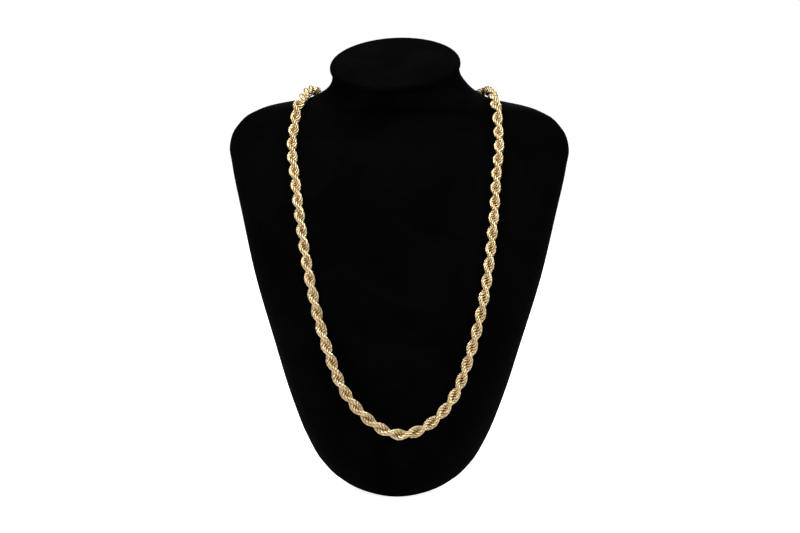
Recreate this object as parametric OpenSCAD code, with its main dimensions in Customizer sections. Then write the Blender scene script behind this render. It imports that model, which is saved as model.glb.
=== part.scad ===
// Rope chain on a neck bust.
// Millimetres, +Z up, the chest faces -Y, origin at the middle of the foot.
// The form stands on its foot, the chain lies on it and closes behind the neck.

/* [Neck bust] */
// Height of the middle of the neck's top
bust_h = 243; // [225:1:275]
// Width across the shoulders
shoulder_w = 201; // [180:1:230]
// Width of the neck at its top
neck_w = 74.5; // [65:0.5:85]
// Width of the foot
foot_w = 39.5; // [30:0.5:60]
// Depth of the chest in front of the middle
chest_d = 59; // [52:1:70]
// Depth of the back behind the middle
back_d = 34.5; // [31:0.5:44]
// How far the neck stands back behind the foot
set_back = 34.5; // [28:0.5:40]
// Forward slant of the neck's top, in degrees
neck_tilt = 28; // [20:1:34]
// Sideways slant of the neck's top, its right end up, in degrees
neck_lean = 3.5; // [0:0.5:6]

/* [Neck cap] */
// Thickness of the oval disc on the neck
cap_t = 4; // [3:0.5:6]
// How far its rim stands out over the neck
cap_rim = 1.5; // [1:0.25:2.5]
// Radius of its rounded edges
cap_round = 1.4; // [0.8:0.1:1.5]
// Gap between the neck and the disc
cap_gap = 0.3; // [0.2:0.1:0.5]

/* [Rope chain] */
// Width across both plies
chain_w = 6.5; // [5.5:0.1:7.5]
// Length of half a turn of the plies
half_turn = 9.75; // [8:0.05:12]
// Gap between the chain and what it lies on
chain_gap = 0.3; // [0.2:0.1:0.5]
// Turn of the plies at the front, in degrees
ply_start = -20; // [-90:5:90]

/* [Clasp] */
// Length of the barrel
clasp_l = 18; // [16:0.5:24]
// Wall of the barrel round each end of the chain
clasp_wall = 0.8; // [0.6:0.1:1.2]
// How deep each end of the chain goes in
cup_depth = 4; // [3:0.5:5]
// Gap between the chain and the barrel
cup_gap = 0.6; // [0.4:0.1:0.8]
// Radius of the barrel's rounded ends
clasp_round = 0.7; // [0.3:0.1:0.8]

/* [Hidden] */

// Columns of the table of sections of the bust, from the foot up
HEIGHT = 0; // share of bust_h
WIDTH = 1; // share of the way from foot_w, or from neck_w above the shoulders, to shoulder_w
FRONT = 2; // share of chest_d
BACK = 3; // share of back_d
SET = 4; // share of set_back
TILT = 5; // share of neck_tilt
FULL = 6; // exponent of the section's oval, 2 is an ellipse
bust_rows = [
    [0.000, 0.000, 0.62, 0.90, 0.00, 0.00, 2.0],
    [0.008, 0.078, 0.70, 0.95, 0.00, 0.00, 2.0],
    [0.025, 0.175, 0.79, 0.98, 0.00, 0.00, 2.0],
    [0.061, 0.291, 0.89, 1.00, 0.00, 0.00, 2.1],
    [0.122, 0.402, 0.97, 1.00, 0.00, 0.00, 2.2],
    [0.213, 0.514, 1.00, 1.00, 0.01, 0.00, 2.2],
    [0.355, 0.650, 0.97, 1.00, 0.04, 0.00, 2.2],
    [0.508, 0.790, 0.87, 1.00, 0.14, 0.02, 2.2],
    [0.650, 0.894, 0.74, 1.00, 0.42, 0.06, 2.2],
    [0.772, 0.982, 0.59, 0.98, 0.78, 0.12, 2.2],
    [0.812, 1.000, 0.51, 0.93, 0.88, 0.15, 2.2],
    [0.861, 0.925, 0.39, 0.84, 0.96, 0.20, 2.1],
    [0.892, 0.780, 0.33, 0.76, 0.99, 0.27, 2.0],
    [0.909, 0.590, 0.33, 0.71, 1.00, 0.34, 2.0],
    [0.918, 0.370, 0.36, 0.69, 1.00, 0.42, 2.0],
    [0.939, 0.150, 0.41, 0.70, 1.00, 0.62, 2.0],
    [0.962, 0.045, 0.45, 0.77, 1.00, 0.88, 2.0],
    [1.000, 0.000, 0.48, 0.90, 1.00, 1.00, 2.0]
];
SHOULDERS = 10; // the widest row
bust_sides = 40;
steps_per_row = 2;

// The chain leaves room for the solid middle of the barrel between its two ends
chain_end = clasp_l / 2 - cup_depth;
clasp_bore = chain_w + 2 * cup_gap;
clasp_d = clasp_bore + 2 * clasp_wall;
// Stand-off that lets the barrel lie on the neck as the chain does, in chain widths
clasp_lift = (clasp_d - chain_w) / 2 / chain_w;

// Route of the chain over the bust's right half, from the front round to the nape:
// height share, angle round the bust from its front, sway, stand-off in chain widths.
// The left half mirrors it, apart from the sway, an angle towards +X that both halves share.
chain_route = [
    [0.1655, 0, 1.8, 0.00],
    [0.196, 14.0, 2.6, 0.00],
    [0.256, 24.5, 1.8, 0.00],
    [0.327, 29.1, 1.1, 0.00],
    [0.414, 32.0, 0.6, 0.00],
    [0.508, 33.3, 0.1, 0.00],
    [0.600, 33.9, -0.6, 0.00],
    [0.685, 34.0, -1.1, 0.00],
    [0.767, 33.8, -1.7, 0.00],
    [0.838, 35.3, -1.6, 0.00],
    [0.867, 37.9, -1.5, 0.00],
    [0.893, 42.6, -1.5, 0.00],
    [0.9115, 53.8, -1.5, 0.00],
    [0.919, 70, -1.5, 0.01],
    [0.9245, 86, -1.4, 0.03],
    [0.9255, 101, -1.0, 0.05],
    [0.9215, 115.5, -0.6, 0.05],
    [0.915, 130.5, -0.3, 0.05],
    [0.909, 142.5, -0.1, 0.06],
    [0.902, 152.5, 0.0, 0.10 + clasp_lift / 2],
    [0.896, 165, 0.0, 0.05 + clasp_lift],
    [0.894, 180, 0.0, clasp_lift]
];
route_steps = 12;
route_reach = 5; // steps before and after a point that even it out
rings_per_half_turn = 4;
barrel_sides = 48;
// Corners of half the chain's section, two plies side by side: angle, share of its half width
ply_corners = [[0, 1], [38, 0.8], [90, 0.46], [142, 0.8]];

// Value of a column at a height, on a smooth curve through the rows
function slope(rows, i, k) =
    let (a = rows[max(i - 1, 0)], b = rows[i], c = rows[min(i + 1, len(rows) - 1)])
    let (before = b[0] - a[0], after = c[0] - b[0])
    before == 0 ? (c[k] - b[k]) / after :
    after == 0 ? (b[k] - a[k]) / before :
    ((b[k] - a[k]) / before * after + (c[k] - b[k]) / after * before) / (before + after);
function interval(rows, h) = max([for (i = [0 : len(rows) - 2]) if (i == 0 || rows[i][0] <= h) i]);
function value(rows, h, k) =
    let (i = interval(rows, h), span = rows[i + 1][0] - rows[i][0], t = (h - rows[i][0]) / span)
    let (u = 1 - t)
    (1 + 2 * t) * u * u * rows[i][k] + t * u * u * span * slope(rows, i, k)
    + t * t * (3 - 2 * t) * rows[i + 1][k] - t * t * u * span * slope(rows, i + 1, k);
function section(h) = [for (k = [0 : FULL]) k == HEIGHT ? h : value(bust_rows, h, k)];
function half_width(row) =
    let (end_w = row[HEIGHT] < bust_rows[SHOULDERS][HEIGHT] ? foot_w : neck_w)
    (end_w + (shoulder_w - end_w) * row[WIDTH]) / 2;

// A point of a section: its angle runs from the front to +X, grow moves it outwards
function power(x, e) = sign(x) * pow(abs(x), e);
function oval_point(row, angle, grow) =
    let (e = 2 / row[FULL], c = cos(angle), depth = c > 0 ? chest_d * row[FRONT] : back_d * row[BACK])
    [(half_width(row) + grow) * power(sin(angle), e), -(depth + grow) * power(c, e)];
// rise lifts it along the slanted section's own normal, and the sideways slant turns about the shoulders
function placed(p, row, rise) =
    let (t = neck_tilt * row[TILT], lean = neck_lean * pow(row[TILT], 3))
    let (pivot = bust_h * bust_rows[SHOULDERS][HEIGHT], above = bust_h * row[HEIGHT] - pivot)
    let (y = p[1] * cos(t) - rise * sin(t), z = above + p[1] * sin(t) + rise * cos(t))
    [p[0] * cos(lean) - z * sin(lean), set_back * row[SET] + y, pivot + p[0] * sin(lean) + z * cos(lean)];
function skin(h, angle) = let (row = section(h)) placed(oval_point(row, angle, 0), row, 0);
function unit(v) = v / norm(v);
function skin_normal(h, angle) =
    let (dh = 0.002, da = 0.5)
    unit(cross(skin(h, angle + da) - skin(h, angle - da), skin(h + dh, angle) - skin(h - dh, angle)));

// The whole way of the chain, from the nape by the front to the nape, with a row past each end
function on_right(r) = [r[0], r[2] + r[1], r[3]];
function on_left(r) = [r[0], r[2] - r[1], r[3]];
nape = len(chain_route) - 1;
left_half = [for (i = [nape : -1 : 1]) on_left(chain_route[i])];
right_half = [for (r = chain_route) on_right(r)];
way = concat(
    [right_half[nape - 1] - [0, 360, 0]], left_half, right_half, [left_half[1] + [0, 360, 0]]
);
function blend(a, b, c, d, t) =
    0.5 * (2 * b + (c - a) * t + (2 * a - 5 * b + 4 * c - d) * t * t + (3 * b - 3 * c + d - a) * t * t * t);
function seat(r) =
    skin(r[0], r[1]) + skin_normal(r[0], r[1]) * (chain_w * (0.5 + r[2]) + chain_gap);
way_rows = [
    for (i = [1 : len(way) - 3]) for (j = [0 : route_steps - (i == len(way) - 3 ? 0 : 1)])
        blend(way[i - 1], way[i], way[i + 1], way[i + 2], j / route_steps)
];
way_seats = [for (r = way_rows) seat(r)];
// Each point is the mean of its near seats, since a chain bends less tightly than the fillet under it
way_points = [
    for (i = [0 : len(way_seats) - 1])
        let (reach = min(route_reach, i, len(way_seats) - 1 - i))
        let (near = [for (j = [i - reach : i + reach]) way_seats[j]])
        [for (p = near) 1] * near / len(near)
];
way_normals = [for (r = way_rows) skin_normal(r[0], r[1])];
// Length of the way up to each of its points
way_length = [
    for (i = 0, s = 0; i < len(way_points);
        i = i + 1, s = i < len(way_points) ? s + norm(way_points[i] - way_points[i - 1]) : s) s
];
loop_l = way_length[len(way_length) - 1];
function at_length(list, s) =
    [for (k = [0 : 2]) lookup(s, [for (i = [0 : len(list) - 1]) [way_length[i], list[i][k]]])];
chain_l = loop_l - 2 * chain_end;
left_end = at_length(way_points, chain_end);
right_end = at_length(way_points, loop_l - chain_end);
ring_count = round(chain_l / half_turn * rings_per_half_turn);

// A closed solid through rings of points that all have as many corners
module loft(rings) {
    n = len(rings[0]);
    last = len(rings) - 1;
    sides = [
        for (r = [0 : last - 1]) for (i = [0 : n - 1])
            let (j = (i + 1) % n, a = r * n + i, b = r * n + j, c = a + n, d = b + n)
            each [[a, c, d], [a, d, b]]
    ];
    ends = [[for (i = [0 : n - 1]) i], [for (i = [n - 1 : -1 : 0]) last * n + i]];
    polyhedron(points = [for (r = rings) each r], faces = concat(sides, ends));
}

module neck_bust() {
    heights = [
        for (i = [0 : len(bust_rows) - 2]) for (j = [0 : steps_per_row - 1])
            bust_rows[i][HEIGHT] + (bust_rows[i + 1][HEIGHT] - bust_rows[i][HEIGHT]) * j / steps_per_row,
        bust_rows[len(bust_rows) - 1][HEIGHT]
    ];
    rows = [for (h = heights) section(h)];
    color([0.05, 0.05, 0.06])
        loft([for (row = rows) [
            for (i = [0 : bust_sides - 1]) placed(oval_point(row, 360 * i / bust_sides, 0), row, 0)
        ]]);
}

module neck_cap() {
    row = bust_rows[len(bust_rows) - 1];
    bend = [for (a = [0 : 30 : 90]) a];
    lower = [for (a = bend) [cap_rim - cap_round * (1 - sin(a)), cap_round * (1 - cos(a))]];
    upper = [for (i = [len(lower) - 1 : -1 : 0]) [lower[i][0], cap_t - lower[i][1]]];
    color([0.09, 0.09, 0.1])
        loft([for (edge = concat(lower, upper)) [
            for (i = [0 : bust_sides - 1])
                placed(oval_point(row, 360 * i / bust_sides, edge[0]), row, cap_gap + edge[1])
        ]]);
}

// One ring of the chain at a length along it, its two plies turned by their place
function chain_ring(s) =
    let (at = chain_end + s, step = 0.5, middle = at_length(way_points, at))
    let (along = unit(at_length(way_points, at + step) - at_length(way_points, at - step)))
    let (side = unit(cross(at_length(way_normals, at), along)), out = cross(along, side))
    let (turn = ply_start - 180 * (s - chain_l / 2) / half_turn)
    [for (half = [0, 180]) for (c = ply_corners)
        middle + chain_w / 2 * c[1] * (side * cos(turn + half + c[0]) + out * sin(turn + half + c[0]))];

module rope_chain() {
    color([0.83, 0.68, 0.4])
        loft([for (i = [0 : ring_count]) chain_ring(chain_l * i / ring_count)]);
}

// A barrel across the nape, in line with the chain's ends, with a blind cup for each of them
module clasp() {
    axis = unit(right_end - left_end);
    color([0.83, 0.68, 0.4])
        translate((left_end + right_end) / 2)
            rotate([0, acos(axis[2]), atan2(axis[1], axis[0])])
                difference() {
                    rotate_extrude($fn = barrel_sides) barrel_outline();
                    for (end = [0, 1])
                        mirror([0, 0, end])
                            translate([0, 0, chain_end - cup_gap])
                                cylinder(h = cup_depth + 2 * cup_gap, d = clasp_bore, $fn = barrel_sides);
                }
}

module barrel_outline() {
    r = min(clasp_round, clasp_wall);
    translate([0, -clasp_l / 2]) square([clasp_d / 2 - r, clasp_l]);
    translate([0, r - clasp_l / 2]) square([clasp_d / 2, clasp_l - 2 * r]);
    for (y = [-1, 1]) translate([clasp_d / 2 - r, y * (clasp_l / 2 - r)]) circle(r, $fn = barrel_sides / 2);
}

neck_bust();
neck_cap();
rope_chain();
clasp();
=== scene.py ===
"""A gold rope chain lying on a black velvet neck bust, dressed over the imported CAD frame.

Everything is in metres in the CAD's frame: +Z up, the chest faces -Y, origin at the middle of the foot.
The bust, its cap, the chain's links and the barrel clasp are sub-assemblies of their own classes. Their
driving sizes, the bust's sections and the chain's route repeat those of the part's source.
"""

import logging
import math
from bisect import bisect_right
from dataclasses import dataclass, field
from enum import Enum
from functools import cached_property

import bmesh
import bpy
from mathutils import Matrix, Quaternion, Vector


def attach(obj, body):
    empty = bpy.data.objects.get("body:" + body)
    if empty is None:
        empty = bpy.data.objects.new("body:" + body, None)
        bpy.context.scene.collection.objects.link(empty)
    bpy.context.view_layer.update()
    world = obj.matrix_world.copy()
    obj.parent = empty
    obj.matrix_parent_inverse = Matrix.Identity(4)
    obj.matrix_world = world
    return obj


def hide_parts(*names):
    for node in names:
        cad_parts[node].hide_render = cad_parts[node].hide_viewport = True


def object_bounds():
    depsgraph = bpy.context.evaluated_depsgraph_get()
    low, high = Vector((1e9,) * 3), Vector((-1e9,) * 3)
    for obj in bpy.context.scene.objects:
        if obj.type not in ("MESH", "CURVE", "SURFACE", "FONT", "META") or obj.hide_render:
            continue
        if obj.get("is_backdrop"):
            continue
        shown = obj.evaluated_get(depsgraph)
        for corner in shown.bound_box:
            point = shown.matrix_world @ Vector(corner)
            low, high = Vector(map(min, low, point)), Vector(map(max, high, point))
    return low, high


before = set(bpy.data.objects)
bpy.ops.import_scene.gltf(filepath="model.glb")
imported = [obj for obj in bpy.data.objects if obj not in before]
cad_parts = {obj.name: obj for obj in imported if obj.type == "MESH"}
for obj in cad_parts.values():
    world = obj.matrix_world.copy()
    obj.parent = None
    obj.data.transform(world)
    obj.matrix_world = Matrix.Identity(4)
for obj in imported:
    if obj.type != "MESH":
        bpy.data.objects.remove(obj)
CAD_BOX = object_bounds()

BODY = "root"
MM = 0.001
FULL_TURN = 2 * math.pi
MERGE_DISTANCE = 1e-7

Colour = tuple[float, float, float]
Outline = list[tuple[float, float]]

WHITE: Colour = (1.0, 1.0, 1.0)

log = logging.getLogger("rope_chain_on_neck_bust")


class Node(str, Enum):
    """The CAD nodes that the pieces of this scene stand for."""

    NECK_BUST = "neck_bust"
    NECK_CAP = "neck_cap"
    ROPE_CHAIN = "rope_chain"
    CLASP = "clasp"


class Slot(str, Enum):
    """The record's material slots."""

    VELVET = "velvet"
    CAP_VELVET = "cap_velvet"
    GOLD = "gold"
    CLASP_GOLD = "clasp_gold"


class Side(Enum):
    """The two halves of the chain, as seen from the front."""

    LEFT = -1
    RIGHT = 1


def set_inputs(node: bpy.types.Node, values: dict[str | int, object]) -> None:
    """Sets the values of a node's inputs, by their names or numbers."""
    for key, value in values.items():
        node.inputs[key].default_value = value


def add_node(
    tree: bpy.types.NodeTree,
    kind: str,
    values: dict[str | int, object] | None = None,
    **settings: object,
) -> bpy.types.Node:
    """Adds a shader node and sets its properties and inputs.

    Args:
        tree: The tree that takes the node.
        kind: The node's Blender type.
        values: Names or numbers of the node's inputs with their values.
        settings: Property names of the node with their values.

    Returns:
        The new node.
    """
    node = tree.nodes.new(kind)
    for name, setting in settings.items():
        setattr(node, name, setting)
    set_inputs(node, values or {})
    return node


def add_spread(tree: bpy.types.NodeTree, edges: tuple[float, float]) -> bpy.types.Node:
    """Adds a node that spreads what lies between two values softly over 0 to 1.

    Args:
        tree: The tree that takes the node.
        edges: The two values.

    Returns:
        The new node.
    """
    values = {"From Min": edges[0], "From Max": edges[1]}
    return add_node(tree, "ShaderNodeMapRange", values, interpolation_type="SMOOTHSTEP")


def add_tone(
    tree: bpy.types.NodeTree, share: bpy.types.NodeSocket, start: Colour, end: Colour
) -> bpy.types.Node:
    """Adds a node that mixes two colours.

    Args:
        tree: The tree that takes the node.
        share: The output that says how much of the end colour there is.
        start: The colour at 0.
        end: The colour at 1.

    Returns:
        The new node.
    """
    values = {"A": (*start, 1.0), "B": (*end, 1.0)}
    tone = add_node(tree, "ShaderNodeMix", values, data_type="RGBA", clamp_factor=True)
    tree.links.new(share, tone.inputs["Factor"])
    return tone


def add_bump(
    tree: bpy.types.NodeTree, height: bpy.types.NodeSocket, strength: float, depth: float
) -> bpy.types.Node:
    """Adds a node that makes a surface seem as rough as a height says.

    Args:
        tree: The tree that takes the node.
        height: The output that gives the height.
        strength: How strongly it shows.
        depth: The depth of its relief.

    Returns:
        The new node.
    """
    bump = add_node(tree, "ShaderNodeBump", {"Strength": strength, "Distance": depth})
    tree.links.new(height, bump.inputs["Height"])
    return bump


def new_group(name: str, inputs: tuple[str, ...], outputs: tuple[str, ...]) -> bpy.types.NodeTree:
    """Makes an empty shader group that takes a vector and some numbers and gives numbers.

    Args:
        name: The group's name.
        inputs: Names of the numbers that it takes besides Vector.
        outputs: Names of the numbers that it gives.

    Returns:
        The new group.
    """
    tree = bpy.data.node_groups.new(name, "ShaderNodeTree")
    tree.interface.new_socket("Vector", in_out="INPUT", socket_type="NodeSocketVector")
    for direction, names in (("INPUT", inputs), ("OUTPUT", outputs)):
        for socket in names:
            tree.interface.new_socket(socket, in_out=direction, socket_type="NodeSocketFloat")
    return tree


def new_material(
    name: str, values: dict[str | int, object]
) -> tuple[bpy.types.Material, bpy.types.Node]:
    """Makes a material with a principled shader.

    Args:
        name: The material's name.
        values: Names of the shader's inputs with their values.

    Returns:
        The material and its shader.
    """
    material = bpy.data.materials.new(name)
    material.use_nodes = True
    shader = material.node_tree.nodes["Principled BSDF"]
    set_inputs(shader, values)
    return material, shader


def add_object(name: str, data: bpy.types.ID) -> bpy.types.Object:
    """Makes an object and puts it into the scene.

    Args:
        name: The object's name.
        data: Its mesh, light or camera.

    Returns:
        The new object.
    """
    piece = bpy.data.objects.new(name, data)
    bpy.context.scene.collection.objects.link(piece)
    return piece


def make_piece(bm: bmesh.types.BMesh, name: str, material: bpy.types.Material) -> bpy.types.Object:
    """Makes a smooth shaded object at the origin.

    Args:
        bm: The mesh in work, which is freed.
        name: Name of the piece.
        material: Finish of the whole piece.

    Returns:
        The new object.
    """
    mesh = bpy.data.meshes.new(name)
    bm.to_mesh(mesh)
    bm.free()
    mesh.shade_smooth()
    mesh.materials.append(material)
    return add_object(name, mesh)


def finish_mesh(bm: bmesh.types.BMesh, name: str, material: bpy.types.Material) -> bpy.types.Object:
    """Merges doubles, turns the faces outwards and makes the object.

    Args:
        bm: The mesh in work, which is freed.
        name: Name of the piece.
        material: Finish of the whole piece.

    Returns:
        The new object.
    """
    bmesh.ops.remove_doubles(bm, verts=bm.verts, dist=MERGE_DISTANCE)
    bmesh.ops.recalc_face_normals(bm, faces=bm.faces)
    return make_piece(bm, name, material)


def settle(piece: bpy.types.Object, node: Node, slot: Slot) -> bpy.types.Object:
    """Makes a piece ride on the part and stand for its CAD node.

    Args:
        piece: The finished piece.
        node: The CAD node that it replaces.
        slot: The record's slot that its finish belongs to. It is not used.

    Returns:
        The same piece.
    """
    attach(piece, BODY)
    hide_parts(node.value)
    log.info("%s: %d faces", piece.name, len(piece.data.polygons))
    return piece


def quarter_turn(steps: int) -> list[float]:
    """Angles from 0 to 90 degrees in even steps, both ends among them."""
    return [math.pi / 2 * i / steps for i in range(steps + 1)]


def spin_round(
    bm: bmesh.types.BMesh,
    geom: list[bmesh.types.BMVert | bmesh.types.BMEdge],
    axis: tuple[int, int, int],
    steps: int,
) -> None:
    """Spins an outline once round an axis through the origin.

    Args:
        bm: The mesh in work.
        geom: The outline's points and edges.
        axis: Direction of the axis.
        steps: Number of steps in the whole turn.
    """
    bmesh.ops.spin(
        bm, geom=geom, cent=(0, 0, 0), axis=axis, angle=FULL_TURN, steps=steps, use_merge=True
    )


def loft(rings: list[list[Vector]]) -> bmesh.types.BMesh:
    """Closes a solid through rings of points by extruding a circle from ring to ring.

    Args:
        rings: Rings of as many points each, from one end of the solid to the other.

    Returns:
        The closed mesh.
    """
    bm = bmesh.new()
    first = bmesh.ops.create_circle(bm, cap_ends=True, radius=1.0, segments=len(rings[0]))
    verts = first["verts"]
    edges = [edge for edge in bm.edges if edge.is_boundary]
    for vert, point in zip(verts, rings[0]):
        vert.co = point
    for ring in rings[1:]:
        index = {vert: i for i, vert in enumerate(verts)}
        grown = bmesh.ops.extrude_edge_only(bm, edges=edges)["geom"]
        fresh = [item for item in grown if isinstance(item, bmesh.types.BMVert)]
        edges = [item for item in grown if isinstance(item, bmesh.types.BMEdge)]
        ordered: list[bmesh.types.BMVert | None] = [None] * len(verts)
        for vert in fresh:
            ends = (edge.other_vert(vert) for edge in vert.link_edges)
            below = next(end for end in ends if end in index)
            ordered[index[below]] = vert
        for vert, point in zip(ordered, ring):
            vert.co = point
        verts = ordered
    bmesh.ops.contextual_create(bm, geom=edges)
    return bm


@dataclass(frozen=True)
class PileGroup:
    """Shared effect: the nap of velvet, brushed into soft clouds over a fine pile.

    Attributes:
        name: The group's name.
        pile_detail: Detail of the pile.
        pile_roughness: How rough that detail is.
        pile_share: How much the pile counts in the shade beside the clouds.
        cloud_detail: Detail of the clouds.
        cloud_distortion: How much they are swirled.
        cloud_edges: The noise values between which a cloud grows from nothing to full.
    """

    name: str = "velvet_pile"
    pile_detail: float = 2.0
    pile_roughness: float = 0.6
    pile_share: float = 0.35
    cloud_detail: float = 3.0
    cloud_distortion: float = 1.2
    cloud_edges: tuple[float, float] = (0.35, 0.68)

    def build(self) -> bpy.types.NodeTree:
        """Makes the node group.

        Returns:
            A group with the inputs Vector, Pile Scale and Cloud Scale and the outputs Shade and Height.
        """
        tree = new_group(self.name, ("Pile Scale", "Cloud Scale"), ("Shade", "Height"))
        pile_values = {"Detail": self.pile_detail, "Roughness": self.pile_roughness}
        cloud_values = {"Detail": self.cloud_detail, "Distortion": self.cloud_distortion}
        given = add_node(tree, "NodeGroupInput")
        out = add_node(tree, "NodeGroupOutput")
        pile = add_node(tree, "ShaderNodeTexNoise", pile_values)
        clouds = add_node(tree, "ShaderNodeTexNoise", cloud_values)
        spread = add_spread(tree, self.cloud_edges)
        both = add_node(tree, "ShaderNodeMath", {1: self.pile_share}, operation="MULTIPLY_ADD")

        links = tree.links
        links.new(given.outputs["Vector"], pile.inputs["Vector"])
        links.new(given.outputs["Pile Scale"], pile.inputs["Scale"])
        links.new(given.outputs["Vector"], clouds.inputs["Vector"])
        links.new(given.outputs["Cloud Scale"], clouds.inputs["Scale"])
        links.new(clouds.outputs["Fac"], spread.inputs["Value"])
        links.new(pile.outputs["Fac"], both.inputs[0])
        links.new(spread.outputs["Result"], both.inputs[2])
        links.new(both.outputs["Value"], out.inputs["Shade"])
        links.new(pile.outputs["Fac"], out.inputs["Height"])
        return tree


@dataclass(frozen=True)
class PolishGroup:
    """Shared effect: polished gold that isn't quite even, with soft hand marks and fine scratches.

    Attributes:
        name: The group's name.
        mark_detail: Detail of the hand marks.
        mark_edges: The noise values between which a mark grows from nothing to full.
        scratch_detail: Detail of the scratches.
        scratch_stretch: How many times longer than wide a scratch is.
    """

    name: str = "gold_polish"
    mark_detail: float = 4.0
    mark_edges: tuple[float, float] = (0.3, 0.7)
    scratch_detail: float = 2.0
    scratch_stretch: float = 9.0

    def build(self) -> bpy.types.NodeTree:
        """Makes the node group.

        Returns:
            A group with the inputs Vector, Mark Scale and Scratch Scale and the outputs Marks and
            Height.
        """
        tree = new_group(self.name, ("Mark Scale", "Scratch Scale"), ("Marks", "Height"))
        stretching = (1.0, self.scratch_stretch, self.scratch_stretch)
        given = add_node(tree, "NodeGroupInput")
        out = add_node(tree, "NodeGroupOutput")
        marks = add_node(tree, "ShaderNodeTexNoise", {"Detail": self.mark_detail})
        spread = add_spread(tree, self.mark_edges)
        stretch = add_node(tree, "ShaderNodeVectorMath", {1: stretching}, operation="MULTIPLY")
        scratches = add_node(tree, "ShaderNodeTexNoise", {"Detail": self.scratch_detail})

        links = tree.links
        links.new(given.outputs["Vector"], marks.inputs["Vector"])
        links.new(given.outputs["Mark Scale"], marks.inputs["Scale"])
        links.new(marks.outputs["Fac"], spread.inputs["Value"])
        links.new(given.outputs["Vector"], stretch.inputs[0])
        links.new(stretch.outputs["Vector"], scratches.inputs["Vector"])
        links.new(given.outputs["Scratch Scale"], scratches.inputs["Scale"])
        links.new(spread.outputs["Result"], out.inputs["Marks"])
        links.new(scratches.outputs["Fac"], out.inputs["Height"])
        return tree


@dataclass(frozen=True)
class Velvet:
    """Black velvet: a deep matt pile that catches light only where it is seen at a slant."""

    name: str
    dark: Colour = (0.0003, 0.0003, 0.00032)
    light: Colour = (0.0010, 0.0010, 0.00105)
    roughness: float = 0.95
    specular: float = 0.01
    sheen: float = 0.003
    sheen_roughness: float = 0.35
    sheen_tint: Colour = (0.95, 0.96, 1.0)
    pile_scale: float = 3200.0
    pile_strength: float = 0.6
    pile_depth: float = 0.25 * MM
    cloud_scale: float = 17.0

    def build(self, pile: bpy.types.NodeTree) -> bpy.types.Material:
        """Makes the material.

        Args:
            pile: The shared group of the velvet's nap.

        Returns:
            The velvet.
        """
        cloth_values = {
            "Roughness": self.roughness,
            "Specular IOR Level": self.specular,
            "Sheen Weight": self.sheen,
            "Sheen Roughness": self.sheen_roughness,
            "Sheen Tint": (*self.sheen_tint, 1.0),
        }
        material, cloth = new_material(self.name, cloth_values)
        tree = material.node_tree
        place = add_node(tree, "ShaderNodeTexCoord")
        nap = add_node(tree, "ShaderNodeGroup", node_tree=pile)
        set_inputs(nap, {"Pile Scale": self.pile_scale, "Cloud Scale": self.cloud_scale})
        tone = add_tone(tree, nap.outputs["Shade"], self.dark, self.light)
        bump = add_bump(tree, nap.outputs["Height"], self.pile_strength, self.pile_depth)

        links = tree.links
        links.new(place.outputs["Object"], nap.inputs["Vector"])
        links.new(tone.outputs["Result"], cloth.inputs["Base Color"])
        links.new(bump.outputs["Normal"], cloth.inputs["Normal"])
        return material


@dataclass(frozen=True)
class Gold:
    """Polished yellow gold, duller and deeper where it is marked."""

    name: str
    deep: Colour = (0.55, 0.405, 0.21)
    bright: Colour = (0.735, 0.575, 0.35)
    roughness: tuple[float, float] = (0.26, 0.36)
    mark_scale: float = 260.0
    scratch_scale: float = 900.0
    scratch_strength: float = 0.35
    scratch_depth: float = 0.02 * MM

    def build(self, polish: bpy.types.NodeTree) -> bpy.types.Material:
        """Makes the material.

        Args:
            polish: The shared group of the gold's polish marks.

        Returns:
            The gold.
        """
        material, metal = new_material(self.name, {"Metallic": 1.0})
        tree = material.node_tree
        place = add_node(tree, "ShaderNodeTexCoord")
        wear = add_node(tree, "ShaderNodeGroup", node_tree=polish)
        set_inputs(wear, {"Mark Scale": self.mark_scale, "Scratch Scale": self.scratch_scale})
        tone = add_tone(tree, wear.outputs["Marks"], self.bright, self.deep)
        smooth, dull = self.roughness
        gloss = add_node(tree, "ShaderNodeMapRange", {"To Min": smooth, "To Max": dull})
        bump = add_bump(tree, wear.outputs["Height"], self.scratch_strength, self.scratch_depth)

        links = tree.links
        links.new(place.outputs["Object"], wear.inputs["Vector"])
        links.new(tone.outputs["Result"], metal.inputs["Base Color"])
        links.new(wear.outputs["Marks"], gloss.inputs["Value"])
        links.new(gloss.outputs["Result"], metal.inputs["Roughness"])
        links.new(bump.outputs["Normal"], metal.inputs["Normal"])
        return material


@dataclass(frozen=True)
class Section:
    """One level cut through the bust, as shares of its driving sizes.

    Attributes:
        height: Share of the bust's height.
        width: Share of the way from the foot's width, or the neck's above the shoulders, to the
            shoulders'.
        front: Share of the chest's depth.
        back: Share of the back's depth.
        set_back: Share of how far the neck stands back.
        tilt: Share of the slant of the neck's top.
        full: Exponent of the oval, 2 is an ellipse.
    """

    height: float
    width: float
    front: float
    back: float
    set_back: float
    tilt: float
    full: float

    def values(self) -> tuple[float, ...]:
        """Its seven columns in order."""
        return (self.height, self.width, self.front, self.back, self.set_back, self.tilt, self.full)


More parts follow.
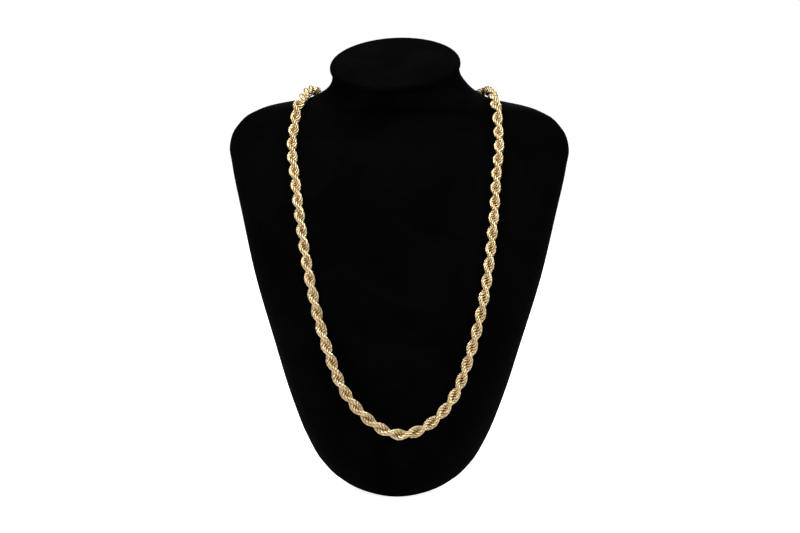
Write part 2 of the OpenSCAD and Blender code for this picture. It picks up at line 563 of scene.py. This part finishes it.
@dataclass(frozen=True)
class BustForm:
    """The form of the neck bust: its skin by height and by angle round it from the front to +X.

    Attributes:
        height: From the foot to the middle of the neck's top.
        shoulder_width: Width over the shoulders.
        neck_width: Width of the neck's top.
        foot_width: Width of the flat foot.
        chest_depth: Greatest depth in front of a section's middle.
        back_depth: Greatest depth behind it.
        set_back: How far the neck's middle stands behind the foot's.
        neck_tilt: Slant of the neck's top towards the front.
        neck_lean: Its slant to one side.
        shoulders: Place of the shoulders in the table of sections.
        probe_height: Step in height for the skin's normal.
        probe_angle: Step in angle for it.
        sections: The sections from the foot up.
    """

    height: float = 243 * MM
    shoulder_width: float = 201 * MM
    neck_width: float = 74.5 * MM
    foot_width: float = 39.5 * MM
    chest_depth: float = 59 * MM
    back_depth: float = 34.5 * MM
    set_back: float = 34.5 * MM
    neck_tilt: float = math.radians(28)
    neck_lean: float = math.radians(3.5)
    shoulders: int = 10
    probe_height: float = 0.002
    probe_angle: float = math.radians(0.5)
    sections: tuple[Section, ...] = (
        Section(0.000, 0.000, 0.62, 0.90, 0.00, 0.00, 2.0),
        Section(0.008, 0.078, 0.70, 0.95, 0.00, 0.00, 2.0),
        Section(0.025, 0.175, 0.79, 0.98, 0.00, 0.00, 2.0),
        Section(0.061, 0.291, 0.89, 1.00, 0.00, 0.00, 2.1),
        Section(0.122, 0.402, 0.97, 1.00, 0.00, 0.00, 2.2),
        Section(0.213, 0.514, 1.00, 1.00, 0.01, 0.00, 2.2),
        Section(0.355, 0.650, 0.97, 1.00, 0.04, 0.00, 2.2),
        Section(0.508, 0.790, 0.87, 1.00, 0.14, 0.02, 2.2),
        Section(0.650, 0.894, 0.74, 1.00, 0.42, 0.06, 2.2),
        Section(0.772, 0.982, 0.59, 0.98, 0.78, 0.12, 2.2),
        Section(0.812, 1.000, 0.51, 0.93, 0.88, 0.15, 2.2),
        Section(0.861, 0.925, 0.39, 0.84, 0.96, 0.20, 2.1),
        Section(0.892, 0.780, 0.33, 0.76, 0.99, 0.27, 2.0),
        Section(0.909, 0.590, 0.33, 0.71, 1.00, 0.34, 2.0),
        Section(0.918, 0.370, 0.36, 0.69, 1.00, 0.42, 2.0),
        Section(0.939, 0.150, 0.41, 0.70, 1.00, 0.62, 2.0),
        Section(0.962, 0.045, 0.45, 0.77, 1.00, 0.88, 2.0),
        Section(1.000, 0.000, 0.48, 0.90, 1.00, 1.00, 2.0),
    )

    def slope(self, index: int, column: int) -> float:
        """Slope of a column at one of the sections.

        Args:
            index: The section's place in the table.
            column: The column's place in a section.

        Returns:
            The change of the column per share of height.
        """
        last = len(self.sections) - 1
        low = self.sections[max(index - 1, 0)].values()
        here = self.sections[index].values()
        high = self.sections[min(index + 1, last)].values()
        before, after = here[0] - low[0], high[0] - here[0]
        if before == 0:
            return (high[column] - here[column]) / after
        if after == 0:
            return (here[column] - low[column]) / before
        from_low = (here[column] - low[column]) / before
        to_high = (high[column] - here[column]) / after
        return (from_low * after + to_high * before) / (before + after)

    def section_at(self, height: float) -> Section:
        """The section at any height, on a cubic through the table that has its slopes.

        Args:
            height: Share of the bust's height.

        Returns:
            The section there.
        """
        heights = [section.height for section in self.sections]
        index = min(max(bisect_right(heights, height) - 1, 0), len(heights) - 2)
        low, high = self.sections[index].values(), self.sections[index + 1].values()
        span = high[0] - low[0]
        t = (height - low[0]) / span
        u = 1 - t
        columns = [
            (1 + 2 * t) * u * u * low[k]
            + t * u * u * span * self.slope(index, k)
            + t * t * (3 - 2 * t) * high[k]
            - t * t * u * span * self.slope(index + 1, k)
            for k in range(1, len(low))
        ]
        return Section(height, *columns)

    def half_width(self, section: Section) -> float:
        """Half the width of a section.

        Args:
            section: The section.

        Returns:
            The half width, measured from the foot's below the shoulders and from the neck's above.
        """
        is_low = section.height < self.sections[self.shoulders].height
        end_width = self.foot_width if is_low else self.neck_width
        return (end_width + (self.shoulder_width - end_width) * section.width) / 2

    def point(self, section: Section, angle: float, grow: float = 0.0, rise: float = 0.0) -> Vector:
        """A point of a section's oval, set on its slant.

        Args:
            section: The section.
            angle: Angle round the bust from its front to +X, in radians.
            grow: How far the point lies outside the oval.
            rise: How far it lies over the section, along the section's own normal.

        Returns:
            The point in the part's frame.
        """
        power = 2 / section.full
        c, s = math.cos(angle), math.sin(angle)
        depth = self.chest_depth * section.front if c > 0 else self.back_depth * section.back
        x = (self.half_width(section) + grow) * math.copysign(abs(s) ** power, s)
        y = -(depth + grow) * math.copysign(abs(c) ** power, c)
        tilt = Matrix.Rotation(self.neck_tilt * section.tilt, 3, "X")
        lean = Matrix.Rotation(-self.neck_lean * section.tilt**3, 3, "Y")
        pivot = self.height * self.sections[self.shoulders].height
        above = Vector((0, 0, self.height * section.height - pivot))
        slanted = lean @ (above + tilt @ Vector((x, y, rise)))
        return slanted + Vector((0, self.set_back * section.set_back, pivot))

    def ring(self, section: Section, sides: int, grow: float, rise: float) -> list[Vector]:
        """Points all the way round a section.

        Args:
            section: The section.
            sides: Number of points.
            grow: How far the ring lies outside the oval.
            rise: How far it lies over the section.

        Returns:
            The ring's points, from the front to +X and on.
        """
        return [self.point(section, FULL_TURN * i / sides, grow, rise) for i in range(sides)]

    def skin(self, height: float, angle: float) -> Vector:
        """A point of the bust's skin."""
        return self.point(self.section_at(height), angle)

    def skin_normal(self, height: float, angle: float) -> Vector:
        """The skin's outward normal.

        Args:
            height: Share of the bust's height.
            angle: Angle round the bust in radians.

        Returns:
            A unit vector.
        """
        dh, da = self.probe_height, self.probe_angle
        around = self.skin(height, angle + da) - self.skin(height, angle - da)
        upwards = self.skin(height + dh, angle) - self.skin(height - dh, angle)
        return around.cross(upwards).normalized()


@dataclass(frozen=True)
class NeckBust:
    """The free-standing form under its velvet."""

    form: BustForm
    sides: int = 112
    rings_per_section: int = 4
    edge_round: float = 1.1 * MM
    edge_steps: int = 4

    def build(self, velvet: bpy.types.Material) -> bpy.types.Object:
        """Lofts the bust through its sections, with the cloth drawn round the edges of foot and neck.

        Args:
            velvet: Finish of the bust.

        Returns:
            The finished piece.
        """
        sections = self.form.sections
        heights = [
            low.height + (high.height - low.height) * step / self.rings_per_section
            for low, high in zip(sections, sections[1:])
            for step in range(self.rings_per_section)
        ]
        heights = [h for h in heights if h * self.form.height > self.edge_round]
        rings = [self.ring(h) for h in heights]
        bm = loft(self.foot_edge() + rings + self.neck_edge())
        piece = finish_mesh(bm, "velvet_bust", velvet)
        return settle(piece, Node.NECK_BUST, Slot.VELVET)

    def ring(self, height: float, grow: float = 0.0, rise: float = 0.0) -> list[Vector]:
        """Points of the skin round one height.

        Args:
            height: Share of the bust's height.
            grow: How far the ring lies outside the skin.
            rise: How far it lies over the section.

        Returns:
            The ring's points.
        """
        return self.form.ring(self.form.section_at(height), self.sides, grow, rise)

    def foot_edge(self) -> list[list[Vector]]:
        """The rounded edge of the foot.

        Returns:
            Its rings from the flat up, without the last, where the straight skin begins.
        """
        r = self.edge_round
        rings = []
        for bend in quarter_turn(self.edge_steps)[:-1]:
            lift = r * (1 - math.cos(bend))
            rings.append(self.ring(lift / self.form.height, -r * (1 - math.sin(bend))))
        return rings

    def neck_edge(self) -> list[list[Vector]]:
        """The rounded edge under the cap.

        Returns:
            Its rings up to the flat.
        """
        r = self.edge_round
        return [
            self.ring(1.0, -r * (1 - math.cos(bend)), -r * (1 - math.sin(bend)))
            for bend in quarter_turn(self.edge_steps)
        ]


@dataclass(frozen=True)
class NeckCap:
    """The velvet-covered oval board that closes the neck's slanted top.

    Attributes:
        form: The form that carries it.
        thickness: The board's thickness.
        rim: How far it stands proud of the neck.
        edge_round: Radius of its rim's edges.
        gap: Room between the neck and the board.
        crown: How much its padded top swells.
        sides: Number of points in a ring.
        edge_steps: Number of steps in a rounded edge.
        top_rings: Number of steps in which the top rises, the closing face takes the last.
        padded_share: Share of the way to the middle over which it rises.
    """

    form: BustForm
    thickness: float = 4 * MM
    rim: float = 1.5 * MM
    edge_round: float = 1.4 * MM
    gap: float = 0.3 * MM
    crown: float = 0.35 * MM
    sides: int = 112
    edge_steps: int = 6
    top_rings: int = 5
    padded_share: float = 0.8

    def build(self, velvet: bpy.types.Material) -> bpy.types.Object:
        """Lofts the board from its underside over its rounded rim to its slightly padded top.

        Args:
            velvet: Finish of the cap.

        Returns:
            The finished piece.
        """
        r = self.edge_round
        lower = [
            (self.rim - r * (1 - math.sin(bend)), r * (1 - math.cos(bend)))
            for bend in quarter_turn(self.edge_steps)
        ]
        upper = [(grow, self.thickness - self.crown - rise) for grow, rise in reversed(lower)]
        top_grow, top_rise = upper[-1]
        half_depth = self.form.back_depth * self.form.sections[-1].back
        padded = []
        for i in range(1, self.top_rings):
            inwards = i / self.top_rings
            grow = top_grow - (half_depth + top_grow) * self.padded_share * inwards
            padded.append((grow, top_rise + self.crown * math.sin(math.pi / 2 * inwards)))
        top = self.form.sections[-1]
        outline = lower + upper + padded
        bm = loft([self.form.ring(top, self.sides, grow, self.gap + rise) for grow, rise in outline])
        piece = finish_mesh(bm, "velvet_cap", velvet)
        return settle(piece, Node.NECK_CAP, Slot.CAP_VELVET)


@dataclass(frozen=True)
class Station:
    """A point that the chain passes on the bust.

    Attributes:
        height: Share of the bust's height.
        angle: Angle round the bust from its front, in degrees.
        sway: Angle towards +X that both halves share, in degrees.
        stand_off: Room under the chain, in chain widths.
    """

    height: float
    angle: float
    sway: float
    stand_off: float

    def on(self, side: Side, turns: int = 0) -> Vector:
        """Height, angle and stand-off on one half of the chain, whole turns round the bust added."""
        return Vector((self.height, self.sway + side.value * self.angle + 360 * turns, self.stand_off))


@dataclass(frozen=True)
class Place:
    """Where a stretch of the chain is and how it lies.

    Attributes:
        middle: Point of the chain's axis.
        side: Across the chain, along the skin.
        out: Away from the skin.
        along: Along the chain.
    """

    middle: Vector
    side: Vector
    out: Vector
    along: Vector


@dataclass(frozen=True)
class ChainRoute:
    """The closed way of the chain from the nape by the front to the nape.

    Attributes:
        form: The form that the chain lies on.
        chain_width: Width of the chain.
        chain_gap: Room between the chain and the skin.
        barrel_length: Length of the clasp.
        barrel_diameter: Its diameter.
        cup_depth: How deep the chain's ends go into it.
        steps: Number of steps between two stations.
        reach: Number of steps before and after a point that even it out.
        probe: Length before and after a point over which its direction is taken.
    """

    form: BustForm
    chain_width: float = 6.5 * MM
    chain_gap: float = 0.3 * MM
    barrel_length: float = 18 * MM
    barrel_diameter: float = 9.3 * MM
    cup_depth: float = 4 * MM
    steps: int = 12
    reach: int = 5
    probe: float = 0.5 * MM

    @cached_property
    def stations(self) -> tuple[Station, ...]:
        """The listed points of the right half.

        Returns:
            The stations from the front to the nape, where the clasp lifts the chain.
        """
        lift = (self.barrel_diameter - self.chain_width) / 2 / self.chain_width
        return (
            Station(0.1655, 0, 1.8, 0.00),
            Station(0.196, 14.0, 2.6, 0.00),
            Station(0.256, 24.5, 1.8, 0.00),
            Station(0.327, 29.1, 1.1, 0.00),
            Station(0.414, 32.0, 0.6, 0.00),
            Station(0.508, 33.3, 0.1, 0.00),
            Station(0.600, 33.9, -0.6, 0.00),
            Station(0.685, 34.0, -1.1, 0.00),
            Station(0.767, 33.8, -1.7, 0.00),
            Station(0.838, 35.3, -1.6, 0.00),
            Station(0.867, 37.9, -1.5, 0.00),
            Station(0.893, 42.6, -1.5, 0.00),
            Station(0.9115, 53.8, -1.5, 0.00),
            Station(0.919, 70, -1.5, 0.01),
            Station(0.9245, 86, -1.4, 0.03),
            Station(0.9255, 101, -1.0, 0.05),
            Station(0.9215, 115.5, -0.6, 0.05),
            Station(0.915, 130.5, -0.3, 0.05),
            Station(0.909, 142.5, -0.1, 0.06),
            Station(0.902, 152.5, 0.0, 0.10 + lift / 2),
            Station(0.896, 165, 0.0, 0.05 + lift),
            Station(0.894, 180, 0.0, lift),
        )

    @cached_property
    def rows(self) -> list[Vector]:
        """The way on the skin, on a smooth curve through the stations of both halves.

        Returns:
            Height, angle in degrees and stand-off at close steps along the whole way.
        """
        stations = self.stations
        left = [station.on(Side.LEFT) for station in reversed(stations[1:])]
        right = [station.on(Side.RIGHT) for station in stations]
        before = stations[-2].on(Side.RIGHT, turns=-1)
        after = stations[-2].on(Side.LEFT, turns=1)
        way = [before, *left, *right, after]
        rows = []
        for a, b, c, d in zip(way, way[1:], way[2:], way[3:]):
            for step in range(self.steps):
                t = step / self.steps
                bend = 2 * a - 5 * b + 4 * c - d
                twist = 3 * b - 3 * c + d - a
                rows.append(0.5 * (2 * b + (c - a) * t + bend * t**2 + twist * t**3))
        return [*rows, way[-2]]

    @cached_property
    def normals(self) -> list[Vector]:
        """The skin's normal under each row."""
        return [self.form.skin_normal(row.x, math.radians(row.y)) for row in self.rows]

    @cached_property
    def seats(self) -> list[Vector]:
        """The seats of the chain's axis on the form.

        Returns:
            The point over each row where the chain just clears the form.
        """
        seats = []
        for row, normal in zip(self.rows, self.normals):
            rise = self.chain_width * (0.5 + row.z) + self.chain_gap
            seats.append(self.form.skin(row.x, math.radians(row.y)) + normal * rise)
        return seats

    @cached_property
    def points(self) -> list[Vector]:
        """The chain's axis, which bends less tightly than the fillet under it.

        Returns:
            The mean of the near seats for each seat.
        """
        points = []
        last = len(self.seats) - 1
        for index in range(last + 1):
            reach = min(self.reach, index, last - index)
            near = self.seats[index - reach : index + reach + 1]
            points.append(sum(near, Vector((0, 0, 0))) / len(near))
        return points

    @cached_property
    def lengths(self) -> list[float]:
        """Lengths along the axis.

        Returns:
            The length of the way up to each point.
        """
        lengths = [0.0]
        for a, b in zip(self.points, self.points[1:]):
            lengths.append(lengths[-1] + (b - a).length)
        return lengths

    @property
    def chain_end(self) -> float:
        """Half the room that the barrel takes between the two ends of the chain."""
        return self.barrel_length / 2 - self.cup_depth

    @property
    def chain_length(self) -> float:
        """Length of the chain between its two ends."""
        return self.lengths[-1] - 2 * self.chain_end

    def at_length(self, values: list[Vector], length: float) -> Vector:
        """Value at a length along the whole way.

        Args:
            values: One value for each point of the way.
            length: Length from the nape.

        Returns:
            The value between its two neighbours.
        """
        index = min(max(bisect_right(self.lengths, length) - 1, 0), len(self.lengths) - 2)
        start, end = self.lengths[index], self.lengths[index + 1]
        share = min(max((length - start) / (end - start), 0.0), 1.0)
        return values[index].lerp(values[index + 1], share)

    def place(self, length: float) -> Place:
        """How the chain lies at a length from its left end.

        Args:
            length: Length along the chain.

        Returns:
            The place with its three directions.
        """
        at = self.chain_end + length
        ahead = self.at_length(self.points, at + self.probe)
        behind = self.at_length(self.points, at - self.probe)
        along = (ahead - behind).normalized()
        side = self.at_length(self.normals, at).cross(along).normalized()
        return Place(self.at_length(self.points, at), side, along.cross(side), along)


@dataclass(frozen=True)
class Link:
    """One link: a round wire bent to a closed oval.

    Attributes:
        width: Width of the oval between the wire's middles.
        length: Its length between them.
        wire: Diameter of the wire.
        sides: Number of steps round the oval.
        wire_sides: Number of sides of the wire.
        spun_radius: Radius of the round ring that is bent to the oval.
    """

    width: float = 5.4 * MM
    length: float = 5.7 * MM
    wire: float = 1.1 * MM
    sides: int = 14
    wire_sides: int = 6
    spun_radius: float = 1.0

    def build(self) -> bpy.types.Mesh:
        """Spins the wire's section into a ring and bends the ring to its shape.

        Returns:
            The link with its width along X and its length along Z.
        """
        bm = bmesh.new()
        middle = Matrix.Translation((self.spun_radius, 0, 0))
        bmesh.ops.create_circle(bm, radius=self.wire / 2, segments=self.wire_sides, matrix=middle)
        spin_round(bm, bm.verts[:] + bm.edges[:], (0, 1, 0), self.sides)
        for vert in bm.verts:
            vert.co = self.bent(vert.co)
        bmesh.ops.recalc_face_normals(bm, faces=bm.faces)
        mesh = bpy.data.meshes.new("link")
        bm.to_mesh(mesh)
        bm.free()
        return mesh

    def bent(self, point: Vector) -> Vector:
        """Moves a point of the spun ring to the oval link.

        Args:
            point: A point of the ring round the Y axis.

        Returns:
            The point on the link.
        """
        angle = math.atan2(point.z, point.x)
        c, s = math.cos(angle), math.sin(angle)
        outward = math.hypot(point.x, point.z) - self.spun_radius
        middle = Vector((self.width / 2 * c, 0, self.length / 2 * s))
        return middle + Vector((outward * c, point.y, outward * s))


@dataclass(frozen=True)
class RopeChain:
    """The rope chain: links nestled side by side, each a little turned past the last.

    Attributes:
        route: The way that the chain lies.
        link: The link that is repeated.
        half_turn: Length in which the two plies turn by 180 degrees.
        links_per_half_turn: Number of links in that length.
        ply_start: Turn of the plies at the front.
    """

    route: ChainRoute
    link: Link = field(default_factory=Link)
    half_turn: float = 9.75 * MM
    links_per_half_turn: float = 7.0
    ply_start: float = math.radians(-20)

    def build(self, gold: bpy.types.Material) -> bpy.types.Object:
        """Sets a copy of the link at each step along the route.

        Args:
            gold: Finish of the links.

        Returns:
            The finished piece.
        """
        step = self.half_turn / self.links_per_half_turn
        free = self.route.chain_length - self.link.length - self.link.wire
        count = math.floor(free / step) + 1
        start = (self.route.chain_length - step * (count - 1)) / 2
        pattern = self.link.build()
        bm = bmesh.new()
        for i in range(count):
            copy = pattern.copy()
            copy.transform(self.link_place(start + step * i))
            bm.from_mesh(copy)
            bpy.data.meshes.remove(copy)
        bpy.data.meshes.remove(pattern)
        log.info("rope chain: %d links over %.1f mm", count, self.route.chain_length / MM)
        piece = make_piece(bm, "rope_links", gold)
        return settle(piece, Node.ROPE_CHAIN, Slot.GOLD)

    def link_place(self, length: float) -> Matrix:
        """Where a link goes and how far it is turned there.

        Args:
            length: Length of its middle from the chain's left end.

        Returns:
            The link's transform.
        """
        place = self.route.place(length)
        turn = self.ply_start - math.pi * (length - self.route.chain_length / 2) / self.half_turn
        across = place.side * math.cos(turn) + place.out * math.sin(turn)
        through = place.along.cross(across)
        turned = Matrix((across, through, place.along)).transposed().to_4x4()
        return Matrix.Translation(place.middle) @ turned


@dataclass(frozen=True)
class BarrelClasp:
    """The barrel behind the neck that takes both ends of the chain in its blind cups.

    Attributes:
        route: The way of the chain that it closes.
        wall: Its wall round the cups.
        cup_gap: Room between a chain's end and the bottom of its cup.
        end_round: Width of the inner and the outer rounding of an end together.
        round_steps: Number of steps in each of them.
        seam_width: Width of the seam round its middle.
        seam_depth: Depth of that seam.
        collar: Distance of the turned groove from its end.
        groove: Width of that groove.
        groove_steps: Number of steps across a groove.
        sides: Number of steps round it.
    """

    route: ChainRoute
    wall: float = 0.8 * MM
    cup_gap: float = 0.6 * MM
    end_round: float = 0.7 * MM
    round_steps: int = 4
    seam_width: float = 0.5 * MM
    seam_depth: float = 0.22 * MM
    collar: float = 1.6 * MM
    groove: float = 0.3 * MM
    groove_steps: int = 6
    sides: int = 48

    def build(self, gold: bpy.types.Material) -> bpy.types.Object:
        """Spins the barrel's outline round the line between the chain's two ends.

        Args:
            gold: Finish of the barrel.

        Returns:
            The finished piece.
        """
        bm = bmesh.new()
        verts = [bm.verts.new((radius, 0, along)) for radius, along in self.outline()]
        edges = [bm.edges.new(pair) for pair in zip(verts, verts[1:])]
        spin_round(bm, verts + edges, (0, 0, 1), self.sides)
        left = self.route.at_length(self.route.points, self.route.chain_end)
        right = self.route.at_length(self.route.points, self.route.lengths[-1] - self.route.chain_end)
        turn = (right - left).to_track_quat("Z", "Y").to_matrix().to_4x4()
        bmesh.ops.transform(bm, matrix=Matrix.Translation((left + right) / 2) @ turn, verts=bm.verts)
        piece = finish_mesh(bm, "barrel_clasp", gold)
        return settle(piece, Node.CLASP, Slot.CLASP_GOLD)

    def outline(self) -> Outline:
        """The barrel's half outline, from the bottom of one cup over the outside to the other's.

        Returns:
            Points as radius and length along the axis.
        """
        radius = self.route.barrel_diameter / 2
        half = self.route.barrel_length / 2
        bore = radius - self.wall
        cup = self.route.chain_end - self.cup_gap
        r = self.end_round / 2
        bends = quarter_turn(self.round_steps)
        mouth = [(bore + r * (1 - math.sin(b)), half - r * (1 - math.cos(b))) for b in reversed(bends)]
        rim = [(radius - r * (1 - math.sin(b)), half - r * (1 - math.cos(b))) for b in bends]
        ring = self.notch(radius, half - self.collar, self.groove, self.groove / 2)
        seam = self.notch(radius, 0.0, self.seam_width, self.seam_depth)
        upper = [(0.0, cup), (bore, cup), *mouth, *rim, *ring]
        lower = [(x, -z) for x, z in reversed(upper)]
        return [*upper, *seam, *lower]

    def notch(self, radius: float, middle: float, width: float, depth: float) -> Outline:
        """Outline of a shallow turned groove.

        Args:
            radius: Radius of the barrel beside it.
            middle: Its place along the axis.
            width: Its width.
            depth: Its depth.

        Returns:
            Its points, going down the axis.
        """
        steps = self.groove_steps
        return [
            (radius - depth * math.sin(math.pi * i / steps), middle + width * (0.5 - i / steps))
            for i in range(steps + 1)
        ]


@dataclass(frozen=True)
class SoftBox:
    """A soft studio light.

    Attributes:
        name: Its name.
        place: Its middle.
        size: Its side.
        power: Its power in watts.
        warmth: Its colour.
    """

    name: str
    place: tuple[float, float, float]
    size: float
    power: float
    warmth: Colour = WHITE

    def build(self, target: Vector) -> None:
        """Makes the light, turned to a target.

        Args:
            target: The point it shines at.
        """
        lamp = bpy.data.lights.new(self.name, "AREA")
        lamp.size = self.size
        lamp.energy = self.power
        lamp.color = self.warmth
        piece = add_object(self.name, lamp)
        piece.location = self.place
        piece.rotation_euler = (target - Vector(self.place)).to_track_quat("-Z", "Y").to_euler()


@dataclass(frozen=True)
class Studio:
    """Pale floor, soft light and the camera at the photo's angle."""

    target: Vector = field(default_factory=lambda: Vector((1.0 * MM, 0, 128.75 * MM)))
    distance: float = 1.28
    elevation: float = math.radians(6)
    roll: float = math.radians(0.5)
    lens: float = 98.9
    view_depth: float = 50.0
    floor_radius: float = 6.0
    floor_sides: int = 64
    paper: Colour = (0.92, 0.92, 0.92)
    paper_roughness: float = 0.9
    paper_specular: float = 0.1
    floor_glow: float = 0.88
    room_colour: Colour = (1.0, 0.93, 0.82)
    room_light: float = 0.21
    boxes: tuple[SoftBox, ...] = (
        SoftBox("key_left", (-0.85, -0.80, 0.95), 0.5, 12.0, (0.95, 0.98, 1.0)),
        SoftBox("fill_right", (1.00, -0.70, 0.70), 0.5, 7.0, (0.95, 0.98, 1.0)),
        SoftBox("top", (0.0, -0.15, 0.95), 0.6, 7.0, (0.96, 0.98, 1.0)),
        SoftBox("back", (0.3, 1.3, 0.9), 0.9, 10.0),
    )

    def build(self) -> None:
        """Makes the floor, the lights, the room and the camera."""
        self.build_floor()
        self.build_room()
        for box in self.boxes:
            box.build(self.target)
        self.build_camera()
        bpy.context.scene.view_settings.view_transform = "Standard"

    def build_floor(self) -> None:
        """Makes the plain pale floor, which glows for the camera alone, as overexposed paper does."""
        bm = bmesh.new()
        bmesh.ops.create_circle(bm, cap_ends=True, radius=self.floor_radius, segments=self.floor_sides)
        paper_values = {
            "Base Color": (*self.paper, 1.0),
            "Roughness": self.paper_roughness,
            "Specular IOR Level": self.paper_specular,
            "Emission Color": (*WHITE, 1.0),
        }
        material, paper = new_material("pale_floor", paper_values)
        tree = material.node_tree
        path = add_node(tree, "ShaderNodeLightPath")
        glow = add_node(tree, "ShaderNodeMath", {1: self.floor_glow}, operation="MULTIPLY")
        tree.links.new(path.outputs["Is Camera Ray"], glow.inputs[0])
        tree.links.new(glow.outputs["Value"], paper.inputs["Emission Strength"])
        floor = finish_mesh(bm, "floor", material)
        floor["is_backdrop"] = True

    def build_room(self) -> None:
        """Makes the white surroundings, which light the object less than the camera sees."""
        world = bpy.data.worlds.new("white_room")
        world.use_nodes = True
        tree = world.node_tree
        seen = tree.nodes["Background"]
        set_inputs(seen, {"Color": (*WHITE, 1.0), "Strength": 1.0})
        shining_values = {"Color": (*self.room_colour, 1.0), "Strength": self.room_light}
        shining = add_node(tree, "ShaderNodeBackground", shining_values)
        path = add_node(tree, "ShaderNodeLightPath")
        pick = add_node(tree, "ShaderNodeMixShader")
        links = tree.links
        links.new(path.outputs["Is Camera Ray"], pick.inputs["Fac"])
        links.new(shining.outputs["Background"], pick.inputs[1])
        links.new(seen.outputs["Background"], pick.inputs[2])
        links.new(pick.outputs["Shader"], tree.nodes["World Output"].inputs["Surface"])
        bpy.context.scene.world = world

    def build_camera(self) -> None:
        """Makes the camera in front of the chest, a little above it."""
        lens = bpy.data.cameras.new("camera")
        lens.lens = self.lens
        lens.clip_end = self.view_depth
        camera = add_object("camera", lens)
        back = Vector((0, -math.cos(self.elevation), math.sin(self.elevation)))
        camera.location = self.target + back * self.distance
        turn = (-back).to_track_quat("-Z", "Y") @ Quaternion((0, 0, 1), self.roll)
        camera.rotation_euler = turn.to_euler()
        bpy.context.scene.camera = camera


def write_sizes() -> None:
    """Gathers the CAD's box and the visual model's box."""
    boxes = {"cad": CAD_BOX, "visual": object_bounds()}
    sizes = {name: [list(corner) for corner in box] for name, box in boxes.items()}


def main() -> None:
    """Builds the finishes, the pieces and the studio."""
    logging.basicConfig(level=logging.INFO, format="%(name)s: %(message)s")
    pile = PileGroup().build()
    polish = PolishGroup().build()
    form = BustForm()
    route = ChainRoute(form)
    NeckBust(form).build(Velvet("black_velvet").build(pile))
    NeckCap(form).build(Velvet("cap_velvet", cloud_scale=24.0).build(pile))
    RopeChain(route).build(Gold("chain_gold").build(polish))
    BarrelClasp(route).build(Gold("clasp_gold", roughness=(0.12, 0.24)).build(polish))
    Studio().build()
    write_sizes()


if __name__ == "__main__":
    main()
